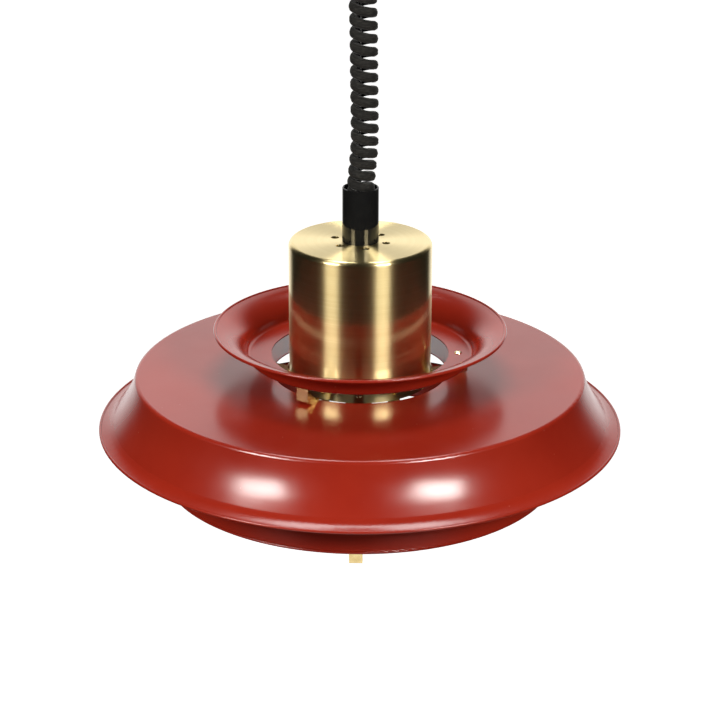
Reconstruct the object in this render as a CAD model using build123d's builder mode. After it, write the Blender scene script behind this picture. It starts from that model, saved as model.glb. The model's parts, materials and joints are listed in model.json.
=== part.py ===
"""Rise-and-fall pendant lamp: ceiling reel, coiled cord and a three-tier red and brass shade.

Z = 0 is the ceiling and the lamp hangs below it on the Z axis. The front is -Y. Azimuths are
counted from the front towards +X. All sizes are millimetres.
"""
from build123d import *
import math
import os

os.makedirs("parts", exist_ok=True)

# Driving dimensions -------------------------------------------------------------------------
RIM_Z = -502.0  # plane of the main shade's rim
SHEET = 1.0  # gauge of every pressed shade
SHADE_R = 225.0  # main shade, rim
CREASE_R = 192.6  # main shade, fold between flat top and skirt
CREASE_BEND = 2.6  # bend radius of the fold
CREASE_IN = 2.5  # the bend's reach inward and downward
CREASE_DROP = 2.4
LIP_R = 212.0  # where the skirt turns out into its lip
LIP_Z = RIM_Z + 7.5
SHADE_HOLE_R = 75.0
SHADE_TOP_Z = RIM_Z + 47.0
DISH_R = 125.0  # upper dish, lip
DISH_FOLD_R = 97.0
DISH_BEND = 3.0  # reach of the fold's bend
DISH_BEND_R = 3.6
DISH_HOLE_R = 75.8
DISH_BASE_Z = RIM_Z + 64.0  # upper face of the dish's flat base
DISH_LIP_Z = RIM_Z + 87.3
RING_TOP_R = 157.0  # lower ring, upper edge
RING_R = 171.0  # lower ring, lower edge
RING_TOP_Z = RIM_Z - 1.0
RING_LOW_Z = RIM_Z - 44.2
BEAD_R = 1.3  # rolled edges

DRUM_R = 60.6  # brass cylinder
DRUM_TOP_Z = RIM_Z + 164.4
DRUM_LOW_Z = RIM_Z + 41.3
DRUM_CORNER = 4.0
VENT_COUNT = 6
VENT_R = 3.4
VENT_PITCH_R = 22.7
VENT_AZIMUTH = 11.0

SLEEVE_R = 15.5  # black sleeves at both ends of the coil
SLEEVE_WALL = 1.5
SLEEVE_FLOOR = 2.5
SLEEVE_TOP_Z = RIM_Z + 211.0
COLLAR_LOW_Z = -118.0

STRIP_T = 1.0  # brass strip brackets
STRIP_W = 11.0
BEND_R = 1.0
STRIP_INNER_R = 58.8  # where the strips stand against the cylinder's inside
HANGER_INNER_R = 58.0  # the same for the wider hangers
HANGER_TAB_W = 22.0
BRACKET_AZIMUTHS = (-31.0, 89.0, 209.0)
STAY_AZIMUTHS = (29.0, 149.0, 269.0)
HANGER_AZIMUTHS = (-1.0, 119.0, 239.0)
BRACKET_BOX_R = 92.2  # outer face of a bracket's folded end
BOX_SLOPE = 6.4  # where the folded end starts to rise, inward from its face
DISH_RIVET_R = 84.0
SHADE_RIVET_R = 81.0
STAY_STUD_R = 84.0
CHEEK_REACH = 14.0  # a bracket's side cheeks, inward from its folded end
RIVET_SHANK_R = 1.5
RIVET_HEAD_R = 3.4
RIVET_HEAD_H = 1.5
RIVET_TAIL = 0.9

COIL_R = 11.75  # coiled cord, outside
COIL_BORE_R = 3.75
COIL_TOP_Z = -106.0
COIL_LOW_Z = RIM_Z + 200.0
FLEX_R = 2.75
WIRE_R = 0.75

CANOPY_R = 56.0
CANOPY_H = 92.0
CANOPY_WALL = 1.6
PLATE_R = 53.0
PLATE_T = 2.5
SCREW_SPACING = 60.0  # ceiling screw slots
SLOT_LENGTH = 14.0
SLOT_WIDTH = 5.5
CABLE_HOLE_X = 30.0
CABLE_HOLE_R = 6.0
CANOPY_CORNER = 8.0
CANOPY_GAP = 0.6  # between canopy and ceiling
REEL_R = 20.0  # to the middle of the wound wire
REEL_Z = -44.0
REEL_W = 18.0
REEL_FLANGE_R = 28.0
AXLE_R = 3.0
FRAME_T = 2.0
FRAME_IN = 13.0  # half the clear width between the cheeks

SOCKET_TOP_Z = RIM_Z + 158.0
SOCKET_MID_Z = RIM_Z + 138.0
SOCKET_LOW_Z = RIM_Z + 104.0
SOCKET_R = 20.0
CAP_NECK_R = 9.0
SHELL_T = 0.8
SCREW_SHELL_R = 14.0  # inside of the lampholder's threaded shell
BULB_R = 30.0
BULB_LOW_Z = RIM_Z + 26.0

CUT = 4.0  # depth of cuts that go through a sheet or strip
CLEAR = 0.15  # clearance of screws and rivets in their holes
FIT = 0.05  # clearance of turning parts on the axle


def radial_plane(azimuth):
    """Sketch plane through the Z axis: local x runs outward at the azimuth, local y is up."""
    a = math.radians(azimuth)
    outward = (math.sin(a), -math.cos(a), 0)
    return Plane(origin=(0, 0, 0), x_dir=outward, z_dir=(-math.cos(a), -math.sin(a), 0))


def on_circle(radius, azimuth, z):
    """Point at a radius and azimuth."""
    a = math.radians(azimuth)
    return (radius * math.sin(a), -radius * math.cos(a), z)


def outward_plane(radius, azimuth, z, tilt=0.0):
    """Plane whose normal points out at the azimuth, tilted up by some degrees."""
    a = math.radians(azimuth)
    t = math.radians(tilt)
    normal = (math.cos(t) * math.sin(a), -math.cos(t) * math.cos(a), math.sin(t))
    return Plane(origin=on_circle(radius, azimuth, z), x_dir=(math.cos(a), math.sin(a), 0), z_dir=normal)


def save(builder, label):
    """Label a finished piece and write its STEP file."""
    builder.part.label = label
    export_step(builder.part, f"parts/{label}.step")


def turned(outline):
    """Solid of revolution about the lamp's axis from a closed (radius, z) outline."""
    with BuildPart() as piece:
        with BuildSketch(Plane.XZ):
            with BuildLine():
                Polyline(*outline, close=True)
            make_face()
        revolve(axis=Axis.Z)
    return piece


def tube_outline(r_in, r_out, z_low, z_high):
    """Rectangle in (radius, z)."""
    return [(r_in, z_low), (r_out, z_low), (r_out, z_high), (r_in, z_high)]


# Pressed shades ------------------------------------------------------------------------------
top_mid = SHADE_TOP_Z - SHEET / 2
with BuildPart() as main_shade:
    with BuildSketch(Plane.XZ):
        with BuildLine() as shade_line:
            Polyline((SHADE_HOLE_R, top_mid), (CREASE_R - CREASE_IN, top_mid))
            RadiusArc((CREASE_R - CREASE_IN, top_mid), (CREASE_R, SHADE_TOP_Z - CREASE_DROP), CREASE_BEND)
            Bezier((CREASE_R, SHADE_TOP_Z - CREASE_DROP), (CREASE_R + 5.3, RIM_Z + 25.0), (LIP_R, LIP_Z))
            Bezier((LIP_R, LIP_Z), (LIP_R + 3.9, LIP_Z - 4.8), (SHADE_R - BEAD_R, RIM_Z + BEAD_R))
        trace(shade_line.line, line_width=SHEET)
        with Locations((SHADE_R - BEAD_R, RIM_Z + BEAD_R)):
            Circle(BEAD_R)
    revolve(axis=Axis.Z)
    for azimuth in BRACKET_AZIMUTHS:
        with Locations(on_circle(SHADE_RIVET_R, azimuth, SHADE_TOP_Z)):
            Hole(RIVET_SHANK_R + CLEAR, depth=CUT)
save(main_shade, "main_shade")

base_mid = DISH_BASE_Z - SHEET / 2
with BuildPart() as upper_dish:
    with BuildSketch(Plane.XZ):
        with BuildLine() as dish_line:
            Polyline((DISH_HOLE_R, base_mid), (DISH_FOLD_R - DISH_BEND, base_mid))
            RadiusArc(
                (DISH_FOLD_R - DISH_BEND, base_mid), (DISH_FOLD_R + 0.6, base_mid + DISH_BEND), -DISH_BEND_R
            )
            Bezier(
                (DISH_FOLD_R + 0.6, base_mid + DISH_BEND),
                (DISH_FOLD_R + 2.5, base_mid + 12.0),
                (DISH_FOLD_R + 11.0, DISH_LIP_Z - 2.5),
                (DISH_R - BEAD_R, DISH_LIP_Z - BEAD_R),
            )
        trace(dish_line.line, line_width=SHEET)
        with Locations((DISH_R - BEAD_R, DISH_LIP_Z - BEAD_R)):
            Circle(BEAD_R)
    revolve(axis=Axis.Z)
    for azimuth in BRACKET_AZIMUTHS:
        with Locations(on_circle(DISH_RIVET_R, azimuth, DISH_BASE_Z)):
            Hole(RIVET_SHANK_R + CLEAR, depth=CUT)
save(upper_dish, "upper_dish")

ring_top = (RING_TOP_R - BEAD_R, RING_TOP_Z - BEAD_R)
ring_low = (RING_R - BEAD_R, RING_LOW_Z + BEAD_R)
ring_slope = math.degrees(math.atan2(ring_low[0] - ring_top[0], ring_top[1] - ring_low[1]))
RING_RIVET_RISE = 3.0  # above the middle of the wall
ring_rivet_z = (ring_top[1] + ring_low[1]) / 2 + RING_RIVET_RISE


def ring_wall(z, inward=0.0):
    """Radius on the middle of the ring's wall, or so far inside it, measured across the wall."""
    share = (ring_top[1] - z) / (ring_top[1] - ring_low[1])
    return ring_top[0] + share * (ring_low[0] - ring_top[0]) - inward / math.cos(math.radians(ring_slope))


with BuildPart() as lower_ring:
    with BuildSketch(Plane.XZ):
        with BuildLine() as ring_line:
            Line(ring_top, ring_low)
        trace(ring_line.line, line_width=SHEET)
        with Locations(ring_low, ring_top):
            Circle(BEAD_R)
    revolve(axis=Axis.Z)
    for azimuth in HANGER_AZIMUTHS:
        with BuildSketch(outward_plane(ring_wall(ring_rivet_z), azimuth, ring_rivet_z, ring_slope)):
            Circle(RIVET_SHANK_R + CLEAR)
        extrude(amount=CUT, both=True, mode=Mode.SUBTRACT)
save(lower_ring, "lower_ring")

# Brass cylinder ------------------------------------------------------------------------------
NIPPLE_R = 5.0
strip_rivet_z = DRUM_LOW_Z + 8.0
with BuildPart() as brass_cylinder:
    with BuildSketch(Plane.XZ):
        with BuildLine():
            corner_z = DRUM_TOP_Z - DRUM_CORNER
            drum_in = DRUM_R - SHEET
            Polyline((DRUM_R - DRUM_CORNER, DRUM_TOP_Z), (NIPPLE_R + CLEAR, DRUM_TOP_Z),
                     (NIPPLE_R + CLEAR, DRUM_TOP_Z - SHEET), (DRUM_R - DRUM_CORNER, DRUM_TOP_Z - SHEET))
            RadiusArc(
                (DRUM_R - DRUM_CORNER, DRUM_TOP_Z - SHEET), (drum_in, corner_z), DRUM_CORNER - SHEET
            )
            Polyline((drum_in, corner_z), (drum_in, DRUM_LOW_Z), (DRUM_R, DRUM_LOW_Z), (DRUM_R, corner_z))
            RadiusArc((DRUM_R, corner_z), (DRUM_R - DRUM_CORNER, DRUM_TOP_Z), -DRUM_CORNER)
        make_face()
    revolve(axis=Axis.Z)
    for n in range(VENT_COUNT):
        with Locations(on_circle(VENT_PITCH_R, VENT_AZIMUTH + 360 / VENT_COUNT * n, DRUM_TOP_Z)):
            Hole(VENT_R, depth=CUT)
    for azimuth in BRACKET_AZIMUTHS + STAY_AZIMUTHS + HANGER_AZIMUTHS:
        with BuildSketch(outward_plane(DRUM_R, azimuth, strip_rivet_z)):
            Circle(RIVET_SHANK_R + CLEAR)
        extrude(amount=CUT, both=True, mode=Mode.SUBTRACT)
save(brass_cylinder, "brass_cylinder")

# Strip brackets ------------------------------------------------------------------------------
strip_top_z = DRUM_LOW_Z + 15.0
strip_turn_z = DRUM_LOW_Z - 2.6


def strip(label, azimuth, points, wide_to=0, cheek=(), rivets_down=(), rivets_out=()):
    """Bent brass strip in the vertical plane at the azimuth, with its cheeks and rivet holes."""
    with BuildPart() as piece:
        with BuildSketch(radial_plane(azimuth)):
            with BuildLine() as route:
                FilletPolyline(*points, radius=BEND_R)
            trace(route.line, line_width=STRIP_T)
        extrude(amount=STRIP_W / 2, both=True)
        if wide_to:
            with BuildSketch(radial_plane(azimuth)):
                with BuildLine() as tab:
                    Polyline(*points[:2])
                trace(tab.line, line_width=STRIP_T)
            extrude(amount=wide_to / 2, both=True)
        if cheek:
            for side in (-1, 1):
                with BuildSketch(radial_plane(azimuth).offset(side * (STRIP_W - STRIP_T) / 2)):
                    with BuildLine():
                        Polyline(*cheek, close=True)
                    make_face()
                extrude(amount=STRIP_T / 2, both=True)
        for radius, z in rivets_down:
            with BuildSketch(Plane(origin=on_circle(radius, azimuth, z + STRIP_T))):
                Circle(RIVET_SHANK_R + CLEAR)
            extrude(amount=-2 * STRIP_T, mode=Mode.SUBTRACT)
        for radius, z, tilt in rivets_out:
            with BuildSketch(outward_plane(radius, azimuth, z, tilt)):
                Circle(RIVET_SHANK_R + CLEAR)
            extrude(amount=2 * STRIP_T, both=True, mode=Mode.SUBTRACT)
    save(piece, label)


on_shade_z = SHADE_TOP_Z + STRIP_T / 2
under_dish_z = DISH_BASE_Z - SHEET - STRIP_T / 2
box_low_z = SHADE_TOP_Z + 2.9
for n, azimuth in enumerate(BRACKET_AZIMUTHS, start=1):
    strip(
        f"dish_bracket_{n}",
        azimuth,
        [
            (STRIP_INNER_R, strip_top_z),
            (STRIP_INNER_R, strip_turn_z),
            (SHADE_HOLE_R - 1.5, on_shade_z),
            (BRACKET_BOX_R - BOX_SLOPE, on_shade_z),
            (BRACKET_BOX_R - STRIP_T / 2, box_low_z),
            (BRACKET_BOX_R - STRIP_T / 2, under_dish_z),
            (DISH_HOLE_R + 2.0, under_dish_z),
        ],
        cheek=[
            (BRACKET_BOX_R - STRIP_T / 2, box_low_z),
            (BRACKET_BOX_R - STRIP_T / 2, under_dish_z - BEND_R),
            (BRACKET_BOX_R - CHEEK_REACH, on_shade_z),
            (BRACKET_BOX_R - BOX_SLOPE, on_shade_z),
        ],
        rivets_down=((SHADE_RIVET_R, on_shade_z), (DISH_RIVET_R, under_dish_z)),
        rivets_out=((STRIP_INNER_R, strip_rivet_z, 0.0),),
    )

under_shade_z = SHADE_TOP_Z - SHEET - STRIP_T / 2
for n, azimuth in enumerate(STAY_AZIMUTHS, start=1):
    strip(
        f"shade_stay_{n}",
        azimuth,
        [
            (STRIP_INNER_R, strip_top_z),
            (STRIP_INNER_R, strip_turn_z),
            (SHADE_HOLE_R + 1.0, under_shade_z),
            (STAY_STUD_R + 7.0, under_shade_z),
        ],
        rivets_down=((STAY_STUD_R, under_shade_z),),
        rivets_out=((STRIP_INNER_R, strip_rivet_z, 0.0),),
    )

HANGER_OUT_Z = RIM_Z + 33.0  # the hanger's level run under the shade
LOOP_LOW_Z = RIM_Z - 56.0  # lowest bend of the folded end below the ring
LOOP_R = RING_R - 4.8
LOOP_LEAN = 4.4  # the folded end leans inward on its way down
LOOP_W = 4.4
LOOP_BACK = 8.0
HANGER_TURN_R = 128.0  # where the level run turns down to the ring
RING_GAP = 4.4  # the strip passes this far inside the ring's upper edge
RING_FIT = 0.1  # gap between the strip and the ring's wall
ALONG = 9.0  # the strip lies on the wall this far from its edges
wall_in = SHEET / 2 + STRIP_T / 2 + RING_FIT
ring_normal = math.radians(ring_slope)
strip_hole_r = ring_wall(ring_rivet_z) - wall_in * math.cos(ring_normal)
strip_hole_z = ring_rivet_z - wall_in * math.sin(ring_normal)
along_top_z = ring_top[1] - ALONG
along_low_z = ring_low[1] + ALONG
for n, azimuth in enumerate(HANGER_AZIMUTHS, start=1):
    strip(
        f"ring_hanger_{n}",
        azimuth,
        [
            (HANGER_INNER_R, strip_top_z),
            (HANGER_INNER_R, HANGER_OUT_Z + 4.0),
            (HANGER_INNER_R + 6.0, HANGER_OUT_Z),
            (HANGER_TURN_R, HANGER_OUT_Z),
            (RING_TOP_R - RING_GAP, RING_TOP_Z),
            (ring_wall(along_top_z, wall_in), along_top_z),
            (ring_wall(along_low_z, wall_in), along_low_z),
            (LOOP_R, RING_LOW_Z),
            (LOOP_R - LOOP_LEAN, LOOP_LOW_Z),
            (LOOP_R - LOOP_LEAN - LOOP_W, LOOP_LOW_Z),
            (LOOP_R - LOOP_LEAN - LOOP_W, LOOP_LOW_Z + LOOP_BACK),
        ],
        wide_to=HANGER_TAB_W,
        rivets_out=(
            (HANGER_INNER_R, strip_rivet_z, 0.0),
            (strip_hole_r, strip_hole_z, ring_slope),
        ),
    )


# Rivets: domed head, shank and a small set tail ------------------------------------------------
def rivet_outline(grip, tail):
    """Half section of a rivet whose head sits on z = 0 and whose shank goes down to its tail."""
    head = [
        (0, RIVET_HEAD_H),
        (RIVET_HEAD_R * 0.55, RIVET_HEAD_H * 0.86),
        (RIVET_HEAD_R * 0.88, RIVET_HEAD_H * 0.5),
        (RIVET_HEAD_R, 0),
        (RIVET_SHANK_R, 0),
        (RIVET_SHANK_R, -grip),
    ]
    if not tail:
        return head + [(0, -grip)]
    return head + [
        (RIVET_SHANK_R + tail, -grip),
        (RIVET_SHANK_R + tail * 0.7, -grip - tail),
        (0, -grip - tail),
    ]


def rivets(label, planes, grip, tail=RIVET_TAIL):
    """One node of equal rivets, a separate solid on each plane. Without a tail they are studs."""
    with BuildPart() as group:
        for plane in planes:
            section = Plane(origin=plane.origin, x_dir=plane.x_dir, z_dir=-plane.y_dir)
            with BuildSketch(section):
                with BuildLine():
                    Polyline(*rivet_outline(grip, tail), close=True)
                make_face()
            revolve(axis=Axis(plane.origin, plane.z_dir))
    save(group, label)


rivets(
    "dish_rivets",
    [Plane(origin=on_circle(DISH_RIVET_R, a, DISH_BASE_Z)) for a in BRACKET_AZIMUTHS],
    SHEET + STRIP_T,
)
rivets(
    "shade_rivets",
    [Plane(origin=on_circle(SHADE_RIVET_R, a, SHADE_TOP_Z + STRIP_T)) for a in BRACKET_AZIMUTHS],
    SHEET + STRIP_T,
)
# Studs on the shade's underside, so that nothing shows from above
stud_z = SHADE_TOP_Z - SHEET - STRIP_T
rivets(
    "stay_studs",
    [Plane(origin=on_circle(STAY_STUD_R, a, stud_z), z_dir=(0, 0, -1)) for a in STAY_AZIMUTHS],
    STRIP_T,
    tail=0,
)
rivets(
    "cylinder_rivets",
    [outward_plane(DRUM_R, a, strip_rivet_z) for a in BRACKET_AZIMUTHS + STAY_AZIMUTHS],
    DRUM_R - STRIP_INNER_R + STRIP_T / 2,
)
rivets(
    "hanger_rivets",
    [outward_plane(DRUM_R, a, strip_rivet_z) for a in HANGER_AZIMUTHS],
    DRUM_R - HANGER_INNER_R + STRIP_T / 2,
)
ring_head_r = ring_wall(ring_rivet_z) + SHEET / 2 * math.cos(ring_normal)
ring_head_z = ring_rivet_z + SHEET / 2 * math.sin(ring_normal)
rivets(
    "ring_rivets",
    [outward_plane(ring_head_r, a, ring_head_z, ring_slope) for a in HANGER_AZIMUTHS],
    SHEET + STRIP_T + RING_FIT,
)

# Sleeve on the cylinder and collar under the canopy --------------------------------------------
sleeve_in = SLEEVE_R - SLEEVE_WALL
floor_z = DRUM_TOP_Z + SLEEVE_FLOOR
cord_sleeve = turned(
    [
        (NIPPLE_R + CLEAR, DRUM_TOP_Z),
        (SLEEVE_R, DRUM_TOP_Z),
        (SLEEVE_R, SLEEVE_TOP_Z - 0.5),
        (SLEEVE_R - 0.5, SLEEVE_TOP_Z),
        (sleeve_in + 0.4, SLEEVE_TOP_Z),
        (sleeve_in, SLEEVE_TOP_Z - 0.5),
        (sleeve_in, floor_z),
        (NIPPLE_R + CLEAR, floor_z),
    ]
)
save(cord_sleeve, "cord_sleeve")

COLLAR_NIPPLE_R = 8.5
COLLAR_NIPPLE_BORE_R = 7.2
collar_floor_z = -CANOPY_H - SLEEVE_FLOOR
ceiling_collar = turned(
    [
        (COLLAR_NIPPLE_R + CLEAR, -CANOPY_H),
        (SLEEVE_R, -CANOPY_H),
        (SLEEVE_R, COLLAR_LOW_Z + 0.5),
        (SLEEVE_R - 0.5, COLLAR_LOW_Z),
        (sleeve_in + 0.4, COLLAR_LOW_Z),
        (sleeve_in, COLLAR_LOW_Z + 0.5),
        (sleeve_in, collar_floor_z),
        (COLLAR_NIPPLE_R + CLEAR, collar_floor_z),
    ]
)
save(ceiling_collar, "ceiling_collar")

NUT_CHAMFER = 0.4


def hex_nut(label, z_low, height, flats, bore_r):
    """Thin hexagon nut on the lamp's axis."""
    with BuildPart() as nut:
        with BuildSketch(Plane.XY.offset(z_low)):
            RegularPolygon(flats / 2, 6, major_radius=False)
            Circle(bore_r, mode=Mode.SUBTRACT)
        extrude(amount=height)
        chamfer(nut.faces().filter_by(Axis.Z).sort_by(Axis.Z)[-1].outer_wire().edges(), NUT_CHAMFER)
    save(nut, label)


# Suspension and wiring inside the sleeve ---------------------------------------------------------
NIPPLE_BORE_R = 3.6
NUT_H = 3.5
NUT_FLATS = 15.0
YOKE_T = 1.5
YOKE_R = 11.5
YOKE_LEG_X = 10.2
YOKE_LEG_W = 7.0
YOKE_TOP_Z = DRUM_TOP_Z + 26.0
nipple_top_z = floor_z + YOKE_T + NUT_H + 1.5
threaded_nipple = turned(tube_outline(NIPPLE_BORE_R, NIPPLE_R, SOCKET_TOP_Z - 8, nipple_top_z))
save(threaded_nipple, "threaded_nipple")
hex_nut("sleeve_nut", floor_z + YOKE_T, NUT_H, NUT_FLATS, NIPPLE_R)
hex_nut("cylinder_nut", DRUM_TOP_Z - SHEET - NUT_H, NUT_H, NUT_FLATS, NIPPLE_R)

with BuildPart() as wire_yoke:
    with BuildSketch(Plane.XY.offset(floor_z)):
        Circle(YOKE_R)
        Circle(NIPPLE_R + CLEAR, mode=Mode.SUBTRACT)
    extrude(amount=YOKE_T)
    with BuildSketch(Plane.XY.offset(floor_z)):
        with Locations((-YOKE_LEG_X, 0), (YOKE_LEG_X, 0)):
            Rectangle(YOKE_T, YOKE_LEG_W)
    extrude(amount=YOKE_TOP_Z - floor_z)
    with BuildSketch(Plane.XY.offset(YOKE_TOP_Z - YOKE_T)):
        Rectangle(2 * YOKE_LEG_X + YOKE_T, YOKE_LEG_W)
        Circle(WIRE_R + CLEAR, mode=Mode.SUBTRACT)
    extrude(amount=YOKE_T)
save(wire_yoke, "wire_yoke")

FERRULE_H = 6.0
FERRULE_R = 2.4
ferrule_top_z = YOKE_TOP_Z - YOKE_T
wire_ferrule = turned(tube_outline(WIRE_R, FERRULE_R, ferrule_top_z - FERRULE_H, ferrule_top_z))
save(wire_ferrule, "wire_ferrule")

# The steel wire that carries the lamp, from the reel to its ferrule
with BuildPart() as lift_wire:
    with BuildSketch(Plane.XY.offset(ferrule_top_z - FERRULE_H)):
        Circle(WIRE_R)
    extrude(amount=REEL_Z - ferrule_top_z + FERRULE_H)
save(lift_wire, "lift_wire")

# The coiled cord's outer shape, with the bore that the wire runs in
coil_cord = turned(tube_outline(COIL_BORE_R, COIL_R, COIL_LOW_Z, COIL_TOP_Z))
save(coil_cord, "coil_cord")

# Short straight ends of the cord, from each end of the coil into its nipple
STRAND_R = 4.0  # of the coiled cord
FLEX_OFFSET = COIL_R - STRAND_R
FLEX_FOOT_Y = 0.4
flex_foot_z = nipple_top_z - 6.0
with BuildPart() as lamp_flex:
    with BuildLine(Plane.YZ) as lamp_flex_route:
        FilletPolyline(
            (FLEX_OFFSET, COIL_LOW_Z),
            (FLEX_OFFSET, YOKE_TOP_Z - 6),
            (FLEX_FOOT_Y, nipple_top_z + 1.5),
            (FLEX_FOOT_Y, flex_foot_z),
            radius=8.0,
        )
    with BuildSketch(Plane.XY.offset(COIL_LOW_Z)):
        with Locations((0, FLEX_OFFSET)):
            Circle(FLEX_R)
    sweep(path=lamp_flex_route.line)
save(lamp_flex, "lamp_flex")

# Lampholder and bulb -----------------------------------------------------------------------------
socket_cap = turned(
    [
        (NIPPLE_R, SOCKET_TOP_Z),
        (CAP_NECK_R, SOCKET_TOP_Z),
        (CAP_NECK_R, SOCKET_TOP_Z - 6),
        (14.0, SOCKET_TOP_Z - 8),
        (SOCKET_R, SOCKET_TOP_Z - 14),
        (SOCKET_R, SOCKET_MID_Z),
        (SOCKET_R - 2, SOCKET_MID_Z),
        (SOCKET_R - 2, SOCKET_TOP_Z - 13),
        (12.0, SOCKET_TOP_Z - 10),
        (NIPPLE_R, SOCKET_TOP_Z - 9),
    ]
)
save(socket_cap, "socket_cap")
body_bore = SCREW_SHELL_R + 1.0
SPIGOT_R = SOCKET_R - 2.2
socket_body = turned(
    [
        (body_bore, SOCKET_LOW_Z),
        (SOCKET_R - 1.0, SOCKET_LOW_Z),
        (SOCKET_R, SOCKET_LOW_Z + 1.0),
        (SOCKET_R, SOCKET_MID_Z),
        (SPIGOT_R, SOCKET_MID_Z),
        (SPIGOT_R, SOCKET_MID_Z + 4),
        (0, SOCKET_MID_Z + 4),
        (0, SOCKET_MID_Z - 1.0),
        (body_bore, SOCKET_MID_Z - 1.0),
    ]
)
save(socket_body, "socket_body")
socket_shell = turned(
    tube_outline(SCREW_SHELL_R, SCREW_SHELL_R + SHELL_T, SOCKET_LOW_Z + 2, SOCKET_MID_Z - 2)
)
save(socket_shell, "socket_shell")
contact_top_z = SOCKET_MID_Z - 1.0
with BuildPart() as socket_contact:
    with BuildSketch(Plane.XY.offset(contact_top_z - 3.0)):
        Rectangle(14, 5)
    extrude(amount=1.0)
    with BuildSketch(Plane.XY.offset(contact_top_z - 2.0)):
        with Locations((-6, 0)):
            Rectangle(2, 5)
    extrude(amount=2.0)
save(socket_contact, "socket_contact")

BULB_CAP_R = SCREW_SHELL_R - 0.5
GLASS_T = 0.9
GLOBE_ARC = 112  # degrees of the globe from its lowest point
NECK_R = 12.75
bulb_mid_z = BULB_LOW_Z + BULB_R
bulb_cap_low_z = SOCKET_LOW_Z + 3.0
with BuildPart() as bulb_glass:
    with BuildSketch(Plane.XZ):
        with BuildLine() as bulb_line:
            globe = CenterArc((0, bulb_mid_z), BULB_R - GLASS_T / 2, -90, GLOBE_ARC)
            Bezier(
                globe @ 1,
                globe @ 1 + globe % 1 * 10,
                (NECK_R, bulb_mid_z + BULB_R),
                (NECK_R, bulb_cap_low_z),
            )
        trace(bulb_line.line, line_width=GLASS_T)
    revolve(axis=Axis.Z)
save(bulb_glass, "bulb_glass")
bulb_cap = turned(
    [
        (0, bulb_cap_low_z),
        (BULB_CAP_R, bulb_cap_low_z),
        (BULB_CAP_R, contact_top_z - 9.5),
        (5.0, contact_top_z - 5.0),
        (0, contact_top_z - 5.0),
    ]
)
save(bulb_cap, "bulb_cap")
bulb_contact = turned(tube_outline(0, 4.5, contact_top_z - 5.0, contact_top_z - 3.2))
save(bulb_contact, "bulb_contact")

# Ceiling fitting ---------------------------------------------------------------------------------
with BuildPart() as mounting_plate:
    with BuildSketch(Plane.XY.offset(-PLATE_T)):
        Circle(PLATE_R)
        with Locations((0, -SCREW_SPACING / 2), (0, SCREW_SPACING / 2)):
            SlotOverall(SLOT_LENGTH, SLOT_WIDTH, rotation=90, mode=Mode.SUBTRACT)
        with Locations((CABLE_HOLE_X, 0)):
            Circle(CABLE_HOLE_R, mode=Mode.SUBTRACT)
    extrude(amount=PLATE_T)
save(mounting_plate, "mounting_plate")

canopy_in = CANOPY_R - CANOPY_WALL
with BuildPart() as canopy:
    with BuildSketch(Plane.XZ):
        with BuildLine():
            Polyline(
                (canopy_in, -CANOPY_GAP),
                (CANOPY_R, -CANOPY_GAP),
                (CANOPY_R, -CANOPY_H + CANOPY_CORNER),
            )
            RadiusArc(
                (CANOPY_R, -CANOPY_H + CANOPY_CORNER), (CANOPY_R - CANOPY_CORNER, -CANOPY_H), CANOPY_CORNER
            )
            Polyline(
                (CANOPY_R - CANOPY_CORNER, -CANOPY_H),
                (COLLAR_NIPPLE_R + CLEAR, -CANOPY_H),
                (COLLAR_NIPPLE_R + CLEAR, -CANOPY_H + CANOPY_WALL),
                (CANOPY_R - CANOPY_CORNER, -CANOPY_H + CANOPY_WALL),
            )
            RadiusArc(
                (CANOPY_R - CANOPY_CORNER, -CANOPY_H + CANOPY_WALL),
                (canopy_in, -CANOPY_H + CANOPY_CORNER),
                -(CANOPY_CORNER - CANOPY_WALL),
            )
            Line((canopy_in, -CANOPY_H + CANOPY_CORNER), (canopy_in, -CANOPY_GAP))
        make_face()
    revolve(axis=Axis.Z)
save(canopy, "canopy")

frame_low_z = -CANOPY_H + CANOPY_WALL
FRAME_END = 14.0  # the frame reaches this far past wire and axle
SCREW_IN = 6.0  # its screws, from its ends
SCREW_R = 2.0
SCREW_HEAD_R = 3.6
SCREW_HEAD_H = 2.4
frame_x = (-REEL_R - FRAME_END, FRAME_END)
screw_x = (frame_x[0] + SCREW_IN, frame_x[1] - SCREW_IN)
screw_seat_z = -PLATE_T - FRAME_T
screw_top_z = screw_seat_z - SCREW_HEAD_H
frame_height = -PLATE_T - frame_low_z
with BuildPart() as reel_frame:
    with BuildSketch(Plane.YZ.offset(frame_x[0])):
        with Locations((0, (frame_low_z - PLATE_T) / 2)):
            Rectangle(2 * (FRAME_IN + FRAME_T), frame_height)
            Rectangle(2 * FRAME_IN, frame_height - 2 * FRAME_T, mode=Mode.SUBTRACT)
    extrude(amount=frame_x[1] - frame_x[0])
    with BuildSketch(Plane.XZ):
        with Locations((-REEL_R, REEL_Z)):
            Circle(AXLE_R)
    extrude(amount=2 * FRAME_IN, both=True, mode=Mode.SUBTRACT)
    with BuildSketch(Plane.XY.offset(frame_low_z)):
        Circle(COLLAR_NIPPLE_R + CLEAR)
    extrude(amount=FRAME_T, mode=Mode.SUBTRACT)
    with BuildSketch(Plane.XY.offset(screw_seat_z)):
        with Locations((screw_x[0], 0), (screw_x[1], 0)):
            Circle(SCREW_R)
    extrude(amount=FRAME_T, mode=Mode.SUBTRACT)
save(reel_frame, "reel_frame")

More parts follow.
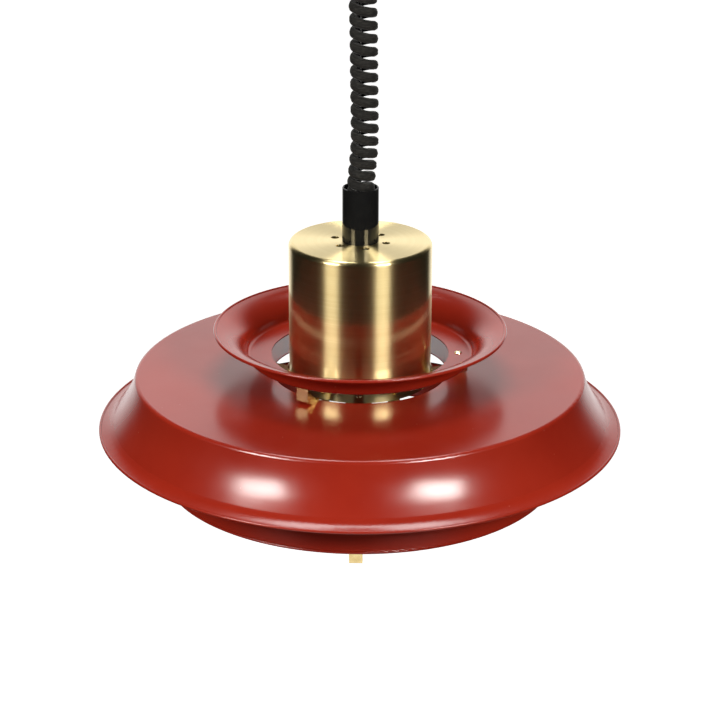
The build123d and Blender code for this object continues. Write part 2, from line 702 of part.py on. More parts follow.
with BuildPart() as frame_screws:
    for x in screw_x:
        with BuildSketch(Plane.XY.offset(screw_seat_z)):
            with Locations((x, 0)):
                Circle(SCREW_R - CLEAR)
        extrude(amount=FRAME_T)
        with BuildSketch(Plane.XY.offset(screw_top_z)):
            with Locations((x, 0)):
                Circle(SCREW_HEAD_R)
        extrude(amount=SCREW_HEAD_H)
        with BuildSketch(Plane.XY.offset(screw_top_z)):
            with Locations((x, 0)):
                Rectangle(6.0, 0.9)
        extrude(amount=1.0, mode=Mode.SUBTRACT)
save(frame_screws, "frame_screws")

COLLAR_NUT_H = 4.0
COLLAR_NUT_FLATS = 21.0
with BuildPart() as collar_nipple:
    with BuildSketch(Plane.XY.offset(collar_floor_z - COLLAR_NUT_H - 1.0)):
        Circle(COLLAR_NIPPLE_R)
        Circle(COLLAR_NIPPLE_BORE_R, mode=Mode.SUBTRACT)
    extrude(amount=frame_low_z + FRAME_T - collar_floor_z + 2 * (COLLAR_NUT_H + 1.0))
save(collar_nipple, "collar_nipple")
hex_nut("frame_nut", frame_low_z + FRAME_T, COLLAR_NUT_H, COLLAR_NUT_FLATS, COLLAR_NIPPLE_R)
hex_nut("collar_nut", collar_floor_z - COLLAR_NUT_H, COLLAR_NUT_H, COLLAR_NUT_FLATS, COLLAR_NIPPLE_R)


def across(r_in, r_out, y_low, y_high):
    """Ring about the reel's axle, which runs along Y."""
    with BuildPart() as piece:
        with BuildSketch(Plane.XZ.offset(-y_high)):
            with Locations((-REEL_R, REEL_Z)):
                Circle(r_out)
                Circle(r_in, mode=Mode.SUBTRACT)
        extrude(amount=y_high - y_low)
    return piece


HUB_R = REEL_R - WIRE_R
CAVITY_R = HUB_R - 2.0  # the hollow that the spring lies in
REEL_WALL = 1.5
half = REEL_W / 2
with BuildPart() as reel_drum:
    with BuildSketch(Plane.XZ.offset(-half)):
        with Locations((-REEL_R, REEL_Z)):
            Circle(HUB_R)
            Circle(CAVITY_R, mode=Mode.SUBTRACT)
    extrude(amount=REEL_W)
    with BuildSketch(Plane.XZ.offset(-half)):
        with Locations((-REEL_R, REEL_Z)):
            Circle(REEL_FLANGE_R)
            Circle(AXLE_R + FIT, mode=Mode.SUBTRACT)
    extrude(amount=REEL_WALL)
    with BuildSketch(Plane.XZ.offset(half - REEL_WALL)):
        with Locations((-REEL_R, REEL_Z)):
            Circle(REEL_FLANGE_R)
            Circle(HUB_R, mode=Mode.SUBTRACT)
    extrude(amount=REEL_WALL)
save(reel_drum, "reel_drum")

reel_cover = across(AXLE_R + FIT, CAVITY_R - 2 * FIT, -half, -half + REEL_WALL)
save(reel_cover, "reel_cover")

# Power spring: a spiral strip hooked on the axle's arbor
SPRING_TURNS = 6
SPRING_T = 0.7
ARBOR_R = 4.4
spring_in = ARBOR_R + 0.8
spring_out = CAVITY_R - 1.2
POINTS_PER_TURN = 12
with BuildPart() as power_spring:
    with BuildSketch(Plane.XZ.offset(-half + 3.0)):
        with BuildLine() as coil_line:
            steps = SPRING_TURNS * POINTS_PER_TURN
            spiral = []
            for k in range(steps + 1):
                r = spring_in + (spring_out - spring_in) * k / steps
                a = 2 * math.pi * k / POINTS_PER_TURN
                spiral.append((-REEL_R + r * math.cos(a), REEL_Z + r * math.sin(a)))
            Spline(*spiral)
        trace(coil_line.line, line_width=SPRING_T)
    extrude(amount=REEL_W - 6.0)
save(power_spring, "power_spring")

# Wound turns on both sides of the turn that the wire is leaving
WIRE_GAP = 0.02
rows = [n for n in range(-4, 5) if n != 0]
with BuildPart() as wound_wire:
    for n in rows:
        y = n * 2 * (WIRE_R + WIRE_GAP)
        with BuildSketch(Plane.XY.offset(REEL_Z)):
            with Locations((0, y)):
                Circle(WIRE_R - WIRE_GAP)
        revolve(axis=Axis((-REEL_R, 0, REEL_Z), (0, 1, 0)))
save(wound_wire, "wound_wire")

AXLE_END = 2.5
axle_reach = FRAME_IN + FRAME_T + AXLE_END
with BuildPart() as reel_axle:
    with BuildSketch(Plane.XZ.offset(-axle_reach)):
        with Locations((-REEL_R, REEL_Z)):
            Circle(AXLE_R)
    extrude(amount=2 * axle_reach)
    chamfer(reel_axle.faces().filter_by(Axis.Y).edges(), 0.5)
save(reel_axle, "reel_axle")

CLIP_T = 0.8
CLIP_R = 5.0
with BuildPart() as axle_clips:
    for y in (-FRAME_IN - FRAME_T - CLIP_T, FRAME_IN + FRAME_T):
        with BuildSketch(Plane.XZ.offset(-y - CLIP_T)):
            with Locations((-REEL_R, REEL_Z)):
                Circle(CLIP_R)
                Circle(AXLE_R, mode=Mode.SUBTRACT)
        extrude(amount=CLIP_T)
save(axle_clips, "axle_clips")

# Terminal block on the frame's cheek, with the cord's tail led to it
BLOCK_X = 2.0
BLOCK_LENGTH = 22.0
BLOCK_SIDE = 14.0
BLOCK_LOW_Z = -40.0
TERMINAL_PITCH = 10.0
TERMINAL_DEPTH = 5.0
TERMINAL_R = 2.2
block_y = -FRAME_IN - FRAME_T - BLOCK_SIDE / 2
block_top_z = BLOCK_LOW_Z + BLOCK_SIDE
terminals = [(BLOCK_X - TERMINAL_PITCH / 2, block_y), (BLOCK_X + TERMINAL_PITCH / 2, block_y)]
with BuildPart() as terminal_block:
    with BuildSketch(Plane.XY.offset(BLOCK_LOW_Z)):
        with Locations((BLOCK_X, block_y)):
            Rectangle(BLOCK_LENGTH, BLOCK_SIDE)
    extrude(amount=BLOCK_SIDE)
    with BuildSketch(Plane.XY.offset(block_top_z)):
        with Locations(*terminals):
            Circle(TERMINAL_R)
    extrude(amount=-TERMINAL_DEPTH, mode=Mode.SUBTRACT)
    fillet(terminal_block.edges().filter_by(Axis.Z), 1.5)
save(terminal_block, "terminal_block")
with BuildPart() as terminal_screws:
    with BuildSketch(Plane.XY.offset(block_top_z - TERMINAL_DEPTH)):
        with Locations(*terminals):
            Circle(TERMINAL_R - 0.2)
    extrude(amount=3.0)
save(terminal_screws, "terminal_screws")

# The cord's upper end, from the coil through the collar to the terminal block
UPPER_FLEX_Y = -(WIRE_R + FLEX_R + 0.4)
coil_flex_y = UPPER_FLEX_Y - 1.5
with BuildPart() as ceiling_flex:
    with BuildLine() as ceiling_flex_route:
        FilletPolyline(
            (0, coil_flex_y, COIL_TOP_Z),
            (0, coil_flex_y, COIL_TOP_Z + 2),
            (0, UPPER_FLEX_Y, COIL_TOP_Z + 6),
            (0, UPPER_FLEX_Y, frame_low_z + 9),
            (20, UPPER_FLEX_Y - 2, frame_low_z + 18),
            (22, block_y, BLOCK_LOW_Z - 16),
            (BLOCK_X, block_y, BLOCK_LOW_Z - 8),
            (BLOCK_X, block_y, BLOCK_LOW_Z),
            radius=[3, 8, 5, 6, 6, 3],
        )
    with BuildSketch(Plane(ceiling_flex_route.line @ 0, z_dir=ceiling_flex_route.line % 0)):
        Circle(FLEX_R)
    sweep(path=ceiling_flex_route.line)
save(ceiling_flex, "ceiling_flex")

# Collar on the axle that the spring's inner end is hooked to
spring_arbor = across(AXLE_R, ARBOR_R, -half + 2.0, half - 2.0)
save(spring_arbor, "spring_arbor")
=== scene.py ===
"""Looks of the rise-and-fall pendant lamp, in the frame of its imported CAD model, in metres.

Z = 0 is the ceiling, the lamp hangs on the Z axis and the front is -Y. Azimuths are counted from
the front towards +X.
"""
import json
import math

import bpy
from mathutils import Matrix, Vector


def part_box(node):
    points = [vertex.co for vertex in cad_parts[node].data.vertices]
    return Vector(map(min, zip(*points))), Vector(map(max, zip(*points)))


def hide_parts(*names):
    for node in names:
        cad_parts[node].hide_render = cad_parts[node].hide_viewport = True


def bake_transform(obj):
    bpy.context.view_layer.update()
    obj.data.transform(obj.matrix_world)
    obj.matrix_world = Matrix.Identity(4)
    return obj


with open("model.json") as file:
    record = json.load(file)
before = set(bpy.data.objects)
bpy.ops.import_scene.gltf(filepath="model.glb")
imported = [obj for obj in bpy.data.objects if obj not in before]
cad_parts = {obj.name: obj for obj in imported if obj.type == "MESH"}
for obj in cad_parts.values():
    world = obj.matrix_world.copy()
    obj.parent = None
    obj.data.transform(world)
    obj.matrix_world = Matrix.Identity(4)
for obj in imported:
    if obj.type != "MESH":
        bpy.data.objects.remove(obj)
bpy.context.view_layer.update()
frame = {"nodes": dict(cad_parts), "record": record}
nodes = frame["nodes"]
MM = 0.001


# Camera ----------------------------------------------------------------------------------------
CAMERA_PLACE = (0, -1.679, 0.212)
CAMERA_DOWN = 21.39  # degrees below level
CAMERA_ROLL = 0.21
SENSOR_WIDTH = 36  # millimetres, as the lens
LENS = 105


def make_camera():
    """The camera stands in front of the lamp and looks down on it through a long lens."""
    pitch = math.radians(CAMERA_DOWN)
    roll = math.radians(CAMERA_ROLL)
    forward = Vector((0, math.cos(pitch), -math.sin(pitch)))
    level_up = Vector((0, math.sin(pitch), math.cos(pitch)))
    right = Vector((math.cos(roll), 0, 0)) + math.sin(roll) * level_up
    up = math.cos(roll) * level_up - Vector((math.sin(roll), 0, 0))
    turn = Matrix((right, up, -forward)).transposed()
    camera = bpy.data.objects.new("camera", bpy.data.cameras.new("camera"))
    camera.data.sensor_width = SENSOR_WIDTH
    camera.data.lens = LENS
    camera.matrix_world = Matrix.Translation(CAMERA_PLACE) @ turn.to_4x4()
    bpy.context.scene.collection.objects.link(camera)
    bpy.context.scene.camera = camera


# Mesh helpers ----------------------------------------------------------------------------------
ROUTE_STEPS = 16  # points on a NURBS line for each of its spans
SHARP = 60  # edges above this angle in degrees stay sharp


def on_circle(radius, azimuth, z):
    """Point at a radius and an azimuth in degrees."""
    a = math.radians(azimuth)
    return Vector((radius * math.sin(a), -radius * math.cos(a), z))


def add_mesh(name, points, faces):
    """A smooth shaded mesh object, apart from its sharp edges."""
    mesh = bpy.data.meshes.new(name)
    mesh.from_pydata(points, [], faces)
    mesh.validate()
    mesh.polygons.foreach_set("use_smooth", [True] * len(mesh.polygons))
    mesh.set_sharp_from_angle(angle=math.radians(SHARP))
    piece = bpy.data.objects.new(name, mesh)
    bpy.context.scene.collection.objects.link(piece)
    return piece


def nurbs_line(points):
    """Points along the smooth NURBS line that has these control points."""
    data = bpy.data.curves.new("route", "CURVE")
    data.dimensions = "3D"
    data.resolution_u = ROUTE_STEPS
    spline = data.splines.new("NURBS")
    spline.points.add(len(points) - 1)
    for place, point in zip(spline.points, points):
        place.co = (*point, 1)
    spline.order_u = 3
    spline.use_endpoint_u = True
    holder = bpy.data.objects.new("route", data)
    bpy.context.scene.collection.objects.link(holder)
    line = bpy.data.meshes.new_from_object(holder)
    found = [v.co.copy() for v in line.vertices]
    bpy.data.objects.remove(holder)
    return found


def frames_along(points, outward):
    """A direction at each point, and two normals, of which the first leans outward."""
    made = []
    for k in range(len(points)):
        before = points[max(k - 1, 0)]
        after = points[min(k + 1, len(points) - 1)]
        direction = (after - before).normalized()
        normal = (outward[k] - outward[k].dot(direction) * direction).normalized()
        made.append((direction, normal, direction.cross(normal)))
    return made


def tube(name, points, outward, radius, sides, profile):
    """Closed tube along points. profile(run, angle) adds to its radius, and angle 0 is outward."""
    rings = []
    run = 0
    for k, (point, axes) in enumerate(zip(points, frames_along(points, outward))):
        if k:
            run += (point - points[k - 1]).length
        ring = []
        for n in range(sides):
            a = 2 * math.pi * n / sides
            r = radius + profile(run, a)
            ring.append(point + r * (math.cos(a) * axes[1] + math.sin(a) * axes[2]))
        rings.append(ring)
    verts = [v for ring in rings for v in ring]
    faces = []
    for k in range(len(rings) - 1):
        for n in range(sides):
            m = (n + 1) % sides
            low = k * sides
            faces.append((low + n, low + m, low + sides + m, low + sides + n))
    faces.append(tuple(reversed(range(sides))))
    faces.append(tuple(range(len(verts) - sides, len(verts))))
    return add_mesh(name, verts, faces), run


# Coiled cord -----------------------------------------------------------------------------------
COIL_TOP_Z = -0.106
COIL_LOW_Z = -0.302
COIL_ROUTE = [
    (0, 0, COIL_TOP_Z),
    (0.0008, 0, -0.125),
    (0.0021, 0, -0.155),
    (0.0024, 0, -0.190),
    (0.0030, 0, -0.225),
    (0.0034, 0, -0.255),
    (0.0006, 0, -0.282),
    (-0.0004, 0, COIL_LOW_Z),
]
STRAND_R = 0.004
STRAND_SIDES = 56
COIL_R = 0.00775  # to the middle of the strand
COIL_PITCH = 10.7  # millimetres, as the next two
CLOSING_FROM = 140.0  # this far below its top the coil's turns start to lie closer
COIL_CLOSING = 6000.0  # square of the depth below that, for each further turn
COIL_TURN_0 = 228.8  # degrees
STEPS_PER_TURN = 40
HEIGHT_STEP = 0.00002  # how finely the height of each step is searched
SQUARING = 2.5  # 2 is a round section, more is squarer
BRAID_DEPTH = 0.00016
BRAID_RIDGES = 7
BRAID_LAY = 0.014  # length over which a ridge goes once round


def coil_azimuth(z):
    """How far the coil has turned at a height, in degrees: its turns lie closer near its lower end."""
    down = (COIL_TOP_Z - z) / MM
    return COIL_TURN_0 + 360 * (down / COIL_PITCH + max(0.0, down - CLOSING_FROM) ** 2 / COIL_CLOSING)


def braid(run, angle):
    """Ridges of the braid's two sets of strands, on a section that is a little squared."""
    one = math.cos(BRAID_RIDGES * angle + 2 * math.pi * run / BRAID_LAY)
    two = math.cos(BRAID_RIDGES * angle - 2 * math.pi * run / BRAID_LAY)
    across = abs(math.cos(angle))
    along = abs(math.sin(angle))
    squared = (across**SQUARING + along**SQUARING) ** (-1 / SQUARING)
    return STRAND_R * (squared - 1) + BRAID_DEPTH * (max(one, two) - 1)


def make_coil():
    """The curly cord: a left-handed coil of braided cord about the steel wire."""
    centre = nurbs_line(COIL_ROUTE)
    first = coil_azimuth(COIL_TOP_Z)
    last = coil_azimuth(COIL_LOW_Z)
    count = int((last - first) / 360 * STEPS_PER_TURN)
    path = []
    outward = []
    z = COIL_TOP_Z
    k = 0
    for n in range(count + 1):
        wanted = first + (last - first) * n / count
        while coil_azimuth(z) < wanted and z > COIL_LOW_Z:
            z -= HEIGHT_STEP
        while k < len(centre) - 2 and centre[k + 1].z > z:
            k += 1
        share = (z - centre[k].z) / (centre[k + 1].z - centre[k].z)
        middle = centre[k].lerp(centre[k + 1], min(max(share, 0), 1))
        path.append(on_circle(COIL_R, wanted, z) + Vector((middle.x, middle.y, 0)))
        outward.append(on_circle(1, wanted, 0))
    piece, length = tube("coil", path, outward, STRAND_R, STRAND_SIDES, braid)
    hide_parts("coil_cord")
    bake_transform(piece)
    return piece


# Steel wire ------------------------------------------------------------------------------------
WIRE_R = 0.00075
WIRE_STRAND_R = 0.00027
WIRE_STRANDS = 6  # about a seventh in the middle
WIRE_LAY = 0.009  # length over which a strand goes once round
WIRE_STEPS = 240
WIRE_SIDES = 8


def wire_strand(strand, top, low, start):
    """Points and faces of one strand, whose points are numbered from start. Strand 0 is straight."""
    out = 0 if strand == 0 else WIRE_R - WIRE_STRAND_R
    first = math.radians(360 / WIRE_STRANDS * strand)
    verts = []
    faces = []
    for n in range(WIRE_STEPS + 1):
        z = top + (low - top) * n / WIRE_STEPS
        turn = first + (top - z) / WIRE_LAY * 2 * math.pi
        middle = Vector((out * math.cos(turn), out * math.sin(turn), z))
        for m in range(WIRE_SIDES):
            a = 2 * math.pi * m / WIRE_SIDES
            verts.append(middle + WIRE_STRAND_R * Vector((math.cos(a), math.sin(a), 0)))
    for n in range(WIRE_STEPS):
        here = start + n * WIRE_SIDES
        below = here + WIRE_SIDES
        for m in range(WIRE_SIDES):
            after = (m + 1) % WIRE_SIDES
            faces.append((here + m, below + m, below + after, here + after))
    last = start + WIRE_STEPS * WIRE_SIDES
    faces.append(tuple(start + m for m in range(WIRE_SIDES)))
    faces.append(tuple(last + m for m in reversed(range(WIRE_SIDES))))
    return verts, faces


def make_wire():
    """The stranded steel wire that carries the lamp, from the reel to its ferrule."""
    box_low, box_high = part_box("lift_wire")
    top = box_high.z
    low = box_low.z
    verts = []
    faces = []
    for strand in range(WIRE_STRANDS + 1):
        more_verts, more_faces = wire_strand(strand, top, low, len(verts))
        verts += more_verts
        faces += more_faces
    piece = add_mesh("steel_wire", verts, faces)
    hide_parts("lift_wire")
    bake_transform(piece)
    return piece


# Materials -------------------------------------------------------------------------------------
class Shader:
    """A material under construction: its node tree, its Principled shader and short node calls."""

    def __init__(self, name, **settings):
        self.material = bpy.data.materials.new(name)
        self.material.use_nodes = True
        self.tree = self.material.node_tree
        self.main = self.tree.nodes["Principled BSDF"]
        for socket, value in settings.items():
            self.main.inputs[socket.replace("_", " ")].default_value = value
        self.place = self.node("ShaderNodeTexCoord").outputs["Object"]

    def node(self, kind, **values):
        """A node with settings and inputs, where i0 is the first input and others go by name."""
        made = self.tree.nodes.new(kind)
        for key, value in values.items():
            if hasattr(made, key):
                setattr(made, key, value)
            else:
                numbered = key[1:].isdigit()
                self.feed(made.inputs[int(key[1:]) if numbered else key.replace("_", " ")], value)
        return made

    def feed(self, socket, value):
        """Link an output to a socket, or set a plain value on it."""
        if isinstance(value, bpy.types.NodeSocket):
            self.tree.links.new(value, socket)
        else:
            socket.default_value = value

    def math(self, operation, a, b):
        """One arithmetic step."""
        return self.node("ShaderNodeMath", operation=operation, i0=a, i1=b).outputs[0]

    def scaled(self, x, y, z):
        """The object's own coordinates times a factor on each axis."""
        return self.node(
            "ShaderNodeVectorMath", operation="MULTIPLY", i0=self.place, i1=(x, y, z)
        ).outputs[0]

    def noise(self, place, scale, detail=3.0, rough=0.55):
        """Soft noise from 0 to 1."""
        return self.node(
            "ShaderNodeTexNoise", Vector=place, Scale=scale, Detail=detail, Roughness=rough
        ).outputs["Fac"]

    def spread(self, value, low, high, to_low=0.0, to_high=1.0):
        """A value's range from low to high stretched onto another range."""
        return self.node(
            "ShaderNodeMapRange",
            interpolation_type="SMOOTHSTEP",
            Value=value,
            From_Min=low,
            From_Max=high,
            To_Min=to_low,
            To_Max=to_high,
        ).outputs[0]

    def mixed(self, factor, one, two):
        """A colour between two others."""
        return self.node("ShaderNodeMix", data_type="RGBA", i0=factor, i6=one, i7=two).outputs[2]

    def bump(self, height, depth, strength=1.0):
        """Relief whose full height is a depth in metres."""
        previous = self.main.inputs["Normal"]
        made = self.node("ShaderNodeBump", Height=height, Distance=depth, Strength=strength)
        if previous.is_linked:
            self.tree.links.new(previous.links[0].from_socket, made.inputs["Normal"])
        self.feed(previous, made.outputs[0])

    def set(self, socket, value):
        """Link or set one input of the shader."""
        self.feed(self.main.inputs[socket], value)

    def radius(self):
        """Distance from the lamp's axis."""
        flat = self.scaled(1, 1, 0)
        return self.node("ShaderNodeVectorMath", operation="LENGTH", i0=flat).outputs["Value"]

    def turned(self, around, across):
        """Coordinates that vary slowly around the axis and fast along a turned wall."""
        parts = self.node("ShaderNodeSeparateXYZ", i0=self.place)
        level = self.math("ADD", parts.outputs[2], self.radius())
        return self.node(
            "ShaderNodeCombineXYZ",
            i0=self.math("MULTIPLY", parts.outputs[0], around),
            i1=self.math("MULTIPLY", parts.outputs[1], around),
            i2=self.math("MULTIPLY", level, across),
        ).outputs[0]


# Full depths of the surfaces' relief, in metres
PEEL_DEPTH = 0.000012
NIB_DEPTH = 0.00015
BRUSHED_DEPTH = 0.000012
ROLLED_DEPTH = 0.000008
TURNED_DEPTH = 0.00002
SKIN_DEPTH = 0.00002
THREAD_DEPTH = 0.00022
STREAK_DEPTH = 0.0003
GLASS_DEPTH = 0.00001
HAZE_SHARE = 0.6  # how much of the brushed brass's reflection is haze


def red_lacquer():
    """Satin stove lacquer with a faint orange peel, dust nibs and a little unevenness."""
    s = Shader("red_lacquer", Specular_IOR_Level=0.5)
    cloud = s.noise(s.place, 9, 4)
    red = s.mixed(s.spread(cloud, 0.3, 0.7), (0.228, 0.0122, 0.0045, 1), (0.260, 0.0162, 0.0062, 1))
    nibs = s.node("ShaderNodeTexVoronoi", Vector=s.place, Scale=65).outputs["Distance"]
    nib = s.spread(nibs, 0.018, 0.035, 1, 0)
    s.set("Base Color", s.mixed(s.math("MULTIPLY", nib, 0.35), red, (0.62, 0.22, 0.17, 1)))
    fine = s.noise(s.place, 600, 3)
    s.set("Roughness", s.spread(s.noise(s.place, 30, 4), 0.3, 0.75, 0.20, 0.25))
    s.bump(fine, PEEL_DEPTH, 0.3)
    s.bump(nib, NIB_DEPTH, 0.5)
    return s.material


def brushed_brass():
    """Brass brushed around the axis: a clear mirror, and a haze drawn out across the brushing."""
    s = Shader("brushed_brass", Metallic=1.0)
    haze = s.tree.nodes.new("ShaderNodeBsdfPrincipled")
    haze.inputs["Metallic"].default_value = 1.0
    haze.inputs["Anisotropic"].default_value = 1.0
    haze.inputs["Anisotropic Rotation"].default_value = 0.25
    lines = s.noise(s.turned(14, 5200), 1.0, 5, 0.6)
    bands = s.noise(s.turned(5, 260), 1.0, 3, 0.5)
    tone = s.mixed(s.spread(lines, 0.25, 0.75), (0.72, 0.57, 0.26, 1), (0.84, 0.70, 0.37, 1))
    tone = s.mixed(s.spread(bands, 0.3, 0.7, 0, 0.35), tone, (0.70, 0.55, 0.25, 1))
    s.set("Base Color", tone)
    s.feed(haze.inputs["Base Color"], tone)
    s.set("Roughness", s.spread(lines, 0.2, 0.8, 0.09, 0.15))
    s.feed(haze.inputs["Roughness"], s.spread(lines, 0.2, 0.8, 0.33, 0.39))
    around = s.node("ShaderNodeTangent", direction_type="RADIAL", axis="Z").outputs[0]
    s.feed(haze.inputs["Tangent"], around)
    s.bump(lines, BRUSHED_DEPTH, 0.5)
    s.feed(haze.inputs["Normal"], s.main.inputs["Normal"].links[0].from_socket)
    both = s.node("ShaderNodeMixShader", i0=HAZE_SHARE, i1=s.main.outputs[0], i2=haze.outputs[0])
    s.feed(s.tree.nodes["Material Output"].inputs["Surface"], both.outputs[0])
    return s.material


def strip_brass():
    """Rolled brass strip with fine lengthwise grain and slight tarnish."""
    s = Shader("strip_brass", Metallic=1.0)
    grain = s.noise(s.scaled(900, 900, 120), 1.0, 3)
    stain = s.noise(s.place, 90, 3)
    s.set("Base Color", s.mixed(s.spread(stain, 0.35, 0.7), (0.84, 0.66, 0.33, 1), (0.70, 0.52, 0.23, 1)))
    s.set("Roughness", s.spread(grain, 0.25, 0.75, 0.14, 0.24))
    s.bump(grain, ROLLED_DEPTH, 0.3)
    return s.material


def plated(name, light, dark, low, high):
    """Plated or bare metal with a fine turned grain and cloudy stains."""
    s = Shader(name, Metallic=1.0)
    grain = s.noise(s.turned(40, 2700), 1.0, 4)
    stain = s.noise(s.place, 140, 4)
    s.set("Base Color", s.mixed(s.spread(stain, 0.35, 0.68), light, dark))
    s.set("Roughness", s.spread(grain, 0.25, 0.75, low, high))
    s.bump(grain, TURNED_DEPTH, 0.4)
    return s.material


def moulded(name, one, two, low, high, texture):
    """Moulded plastic, bakelite or glazed porcelain: an even tone with a fine uneven skin."""
    s = Shader(name, Specular_IOR_Level=0.5)
    cloud = s.noise(s.place, 45, 4)
    skin = s.noise(s.place, texture, 3)
    s.set("Base Color", s.mixed(s.spread(cloud, 0.3, 0.7), one, two))
    s.set("Roughness", s.spread(s.noise(s.place, 90, 3), 0.3, 0.7, low, high))
    s.bump(skin, SKIN_DEPTH, 0.3)
    return s.material


def braided_cord():
    """Black textile braid: fuzzy, with raised lengthwise streaks that the base colour also lightens as a
    painted highlight where the threads catch the light.
    """
    s = Shader("braided_cord", Specular_IOR_Level=0.20, Sheen_Weight=0.15, Sheen_Roughness=0.4)
    threads = s.noise(s.place, 1900, 4, 0.7)
    streak_relief_and_highlight = s.noise(s.scaled(260, 260, 1500), 1.0, 4, 0.6)
    # painted highlight: the base colour is lighter along the raised lengthwise streaks
    tone = s.mixed(s.spread(streak_relief_and_highlight, 0.42, 0.72), (0.006, 0.0058, 0.0052, 1), (0.025, 0.023, 0.019, 1))
    s.set("Base Color", s.mixed(s.spread(threads, 0.5, 0.8, 0, 0.6), tone, (0.040, 0.037, 0.032, 1)))
    s.set("Roughness", s.spread(threads, 0.3, 0.7, 0.6, 0.85))
    s.bump(threads, THREAD_DEPTH, 0.8)
    s.bump(streak_relief_and_highlight, STREAK_DEPTH, 0.7)
    return s.material


def opal_glass():
    """Opal bulb glass, milky right through and glossy outside."""
    s = Shader("opal_glass", Specular_IOR_Level=0.5, Subsurface_Weight=0.4, Subsurface_Scale=0.004)
    cloud = s.noise(s.place, 60, 3)
    s.set("Base Color", s.mixed(s.spread(cloud, 0.3, 0.7), (0.86, 0.85, 0.81, 1), (0.91, 0.90, 0.87, 1)))
    s.set("Roughness", s.spread(cloud, 0.3, 0.7, 0.10, 0.16))
    s.bump(s.noise(s.place, 500, 2), GLASS_DEPTH, 0.2)
    return s.material


# Each metal's light tone, stained tone, lowest and highest roughness
PLATED = {
    "rivet_brass": ((0.9, 0.76, 0.5, 1), (0.78, 0.6, 0.34, 1), 0.14, 0.26),
    "zinc_steel": ((0.62, 0.63, 0.65, 1), (0.48, 0.48, 0.47, 1), 0.28, 0.42),
    "wire_steel": ((0.30, 0.30, 0.31, 1), (0.16, 0.16, 0.16, 1), 0.3, 0.45),
    "spring_steel": ((0.25, 0.27, 0.33, 1), (0.17, 0.16, 0.2, 1), 0.22, 0.35),
    "plated_copper": ((0.78, 0.6, 0.36, 1), (0.62, 0.46, 0.26, 1), 0.22, 0.36),
    "bulb_metal": ((0.74, 0.74, 0.74, 1), (0.6, 0.6, 0.6, 1), 0.2, 0.34),
}
# Each moulded material's two tones, lowest and highest roughness, and how fine its skin is
MOULDED = {
    "black_sleeve": ((0.005, 0.005, 0.005, 1), (0.008, 0.008, 0.008, 1), 0.05, 0.08, 1400),
    "black_canopy": ((0.012, 0.012, 0.012, 1), (0.014, 0.014, 0.0135, 1), 0.27, 0.30, 1400),
    "inner_flex": ((0.02, 0.02, 0.02, 1), (0.035, 0.034, 0.033, 1), 0.5, 0.65, 1400),
    "bakelite": ((0.028, 0.016, 0.011, 1), (0.045, 0.024, 0.015, 1), 0.22, 0.34, 1400),
    "porcelain": ((0.78, 0.76, 0.7, 1), (0.84, 0.82, 0.77, 1), 0.12, 0.22, 500),
    "reel_nylon": ((0.66, 0.65, 0.6, 1), (0.73, 0.72, 0.67, 1), 0.42, 0.56, 1400),
}


def make_materials():
    """One material for each material slot of the record."""
    made = {
        "red_lacquer": red_lacquer(),
        "brushed_brass": brushed_brass(),
        "strip_brass": strip_brass(),
        "braided_cord": braided_cord(),
        "opal_glass": opal_glass(),
    }
    for name, look in PLATED.items():
        made[name] = plated(name, *look)
    for name, look in MOULDED.items():
        made[name] = moulded(name, *look)
    return made


# Floor and light -------------------------------------------------------------------------------
LAMP_MIDDLE = Vector((0, 0, -0.45))
FLOOR_Z = -2.9
FLOOR_REACH = 14
FLOOR_GLOW = 0.95
BACKDROP_EDGE = 0.69  # a direction's part towards the back, where the backdrop begins
BACKDROP_FULL = 0.91
BACKDROP_LEVEL = 1.38
ROOM_LEVEL = 0.02
SEEN_LEVEL = 1.05  # what the camera itself sees behind the lamp
STUDIO_WHITE = (1, 0.995, 0.985, 1)
WHITE = (1, 1, 1)
WARM = (1.0, 0.975, 0.94)
# Each light's name, azimuth, elevation, distance, width, height, watts and colour
LIGHTS = [
    ("key_left", -47, 27.5, 2.2, 0.78, 0.46, 36, WARM),
    ("key_right", 36.5, 27.5, 2.2, 0.78, 0.46, 40, WARM),
    ("overhead", 180, 73, 2.2, 1.2, 0.9, 38, WHITE),
    ("low_fill", 0, -18, 2.6, 2.4, 1.0, 17, WHITE),
    ("below", 0, -75, 2.2, 1.6, 1.6, 9, WHITE),
]
NOT_MIRRORED = "low_fill"


def softbox(name, azimuth, elevation, distance, width, height, watts, color):
    """A rectangular light that faces the lamp."""
    a = math.radians(azimuth)
    e = math.radians(elevation)
    out = Vector((math.sin(a) * math.cos(e), -math.cos(a) * math.cos(e), math.sin(e)))
    light = bpy.data.lights.new(name, "AREA")
    light.shape = "RECTANGLE"
    light.size = width
    light.size_y = height
    light.energy = watts
    light.color = color
    holder = bpy.data.objects.new(name, light)
    holder.matrix_world = Matrix.Translation(LAMP_MIDDLE + out * distance) @ (
        out.to_track_quat("Z", "Y").to_matrix().to_4x4()
    )
    bpy.context.scene.collection.objects.link(holder)
    return holder


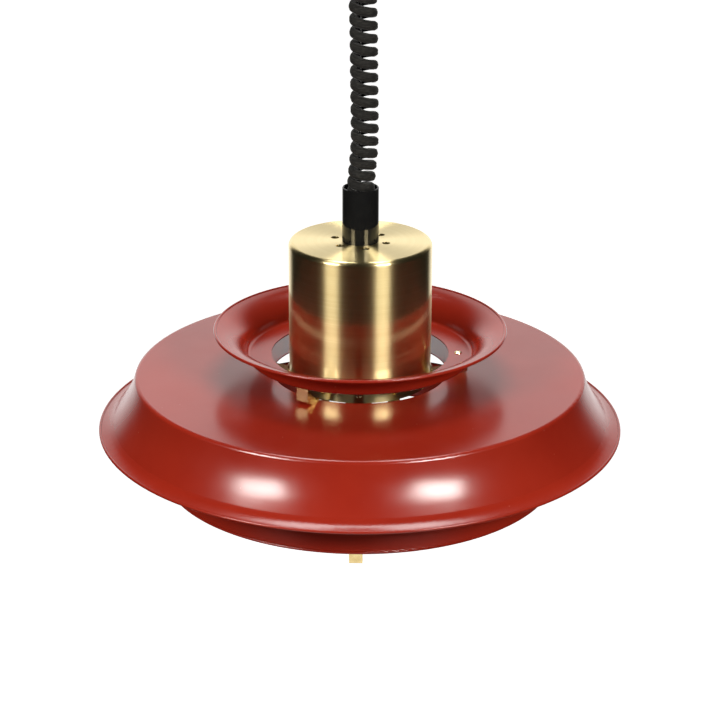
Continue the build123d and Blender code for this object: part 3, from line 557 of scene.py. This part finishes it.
def make_world():
    """Studio surroundings: a white backdrop behind the lamp and a dim room in front of it."""
    world = bpy.data.worlds.new("studio")
    world.use_nodes = True
    tree = world.node_tree
    way = tree.nodes.new("ShaderNodeTexCoord")
    parts = tree.nodes.new("ShaderNodeSeparateXYZ")
    tree.links.new(way.outputs["Generated"], parts.inputs[0])
    back = tree.nodes.new("ShaderNodeMapRange")
    back.interpolation_type = "SMOOTHSTEP"
    tree.links.new(parts.outputs[1], back.inputs["Value"])
    back.inputs["From Min"].default_value = BACKDROP_EDGE
    back.inputs["From Max"].default_value = BACKDROP_FULL
    back.inputs["To Min"].default_value = ROOM_LEVEL
    back.inputs["To Max"].default_value = BACKDROP_LEVEL
    seen = tree.nodes.new("ShaderNodeLightPath")
    level = tree.nodes.new("ShaderNodeMix")
    tree.links.new(seen.outputs["Is Camera Ray"], level.inputs[0])
    tree.links.new(back.outputs[0], level.inputs[2])
    level.inputs[3].default_value = SEEN_LEVEL
    tree.links.new(level.outputs[0], tree.nodes["Background"].inputs["Strength"])
    tree.nodes["Background"].inputs["Color"].default_value = STUDIO_WHITE
    bpy.context.scene.world = world


def make_studio():
    """Pale floor, soft lights and surroundings."""
    reach = FLOOR_REACH
    corners = [(-reach, -reach), (reach, -reach), (reach, reach), (-reach, reach)]
    floor = add_mesh("floor", [(x, y, FLOOR_Z) for x, y in corners], [(0, 1, 2, 3)])
    s = Shader("pale_floor")
    s.set("Base Color", (0.9, 0.9, 0.89, 1))
    s.set("Roughness", 0.7)
    s.set("Emission Color", STUDIO_WHITE)
    s.set("Emission Strength", FLOOR_GLOW)
    floor.data.materials.append(s.material)
    floor.visible_glossy = False
    floor.visible_diffuse = False
    make_world()
    for light in LIGHTS:
        holder = softbox(*light)
        holder.visible_glossy = light[0] != NOT_MIRRORED
    bpy.context.scene.view_settings.view_transform = "Standard"


# Assembly --------------------------------------------------------------------------------------
make_camera()
coil = make_coil()
wire = make_wire()
materials = make_materials()
for part in frame["record"]["subparts"]:
    node = nodes[part["node"]]
    node.data.materials.clear()
    node.data.materials.append(materials[part["material_slot"]])
coil.data.materials.append(materials["braided_cord"])
wire.data.materials.append(materials["wire_steel"])
make_studio()
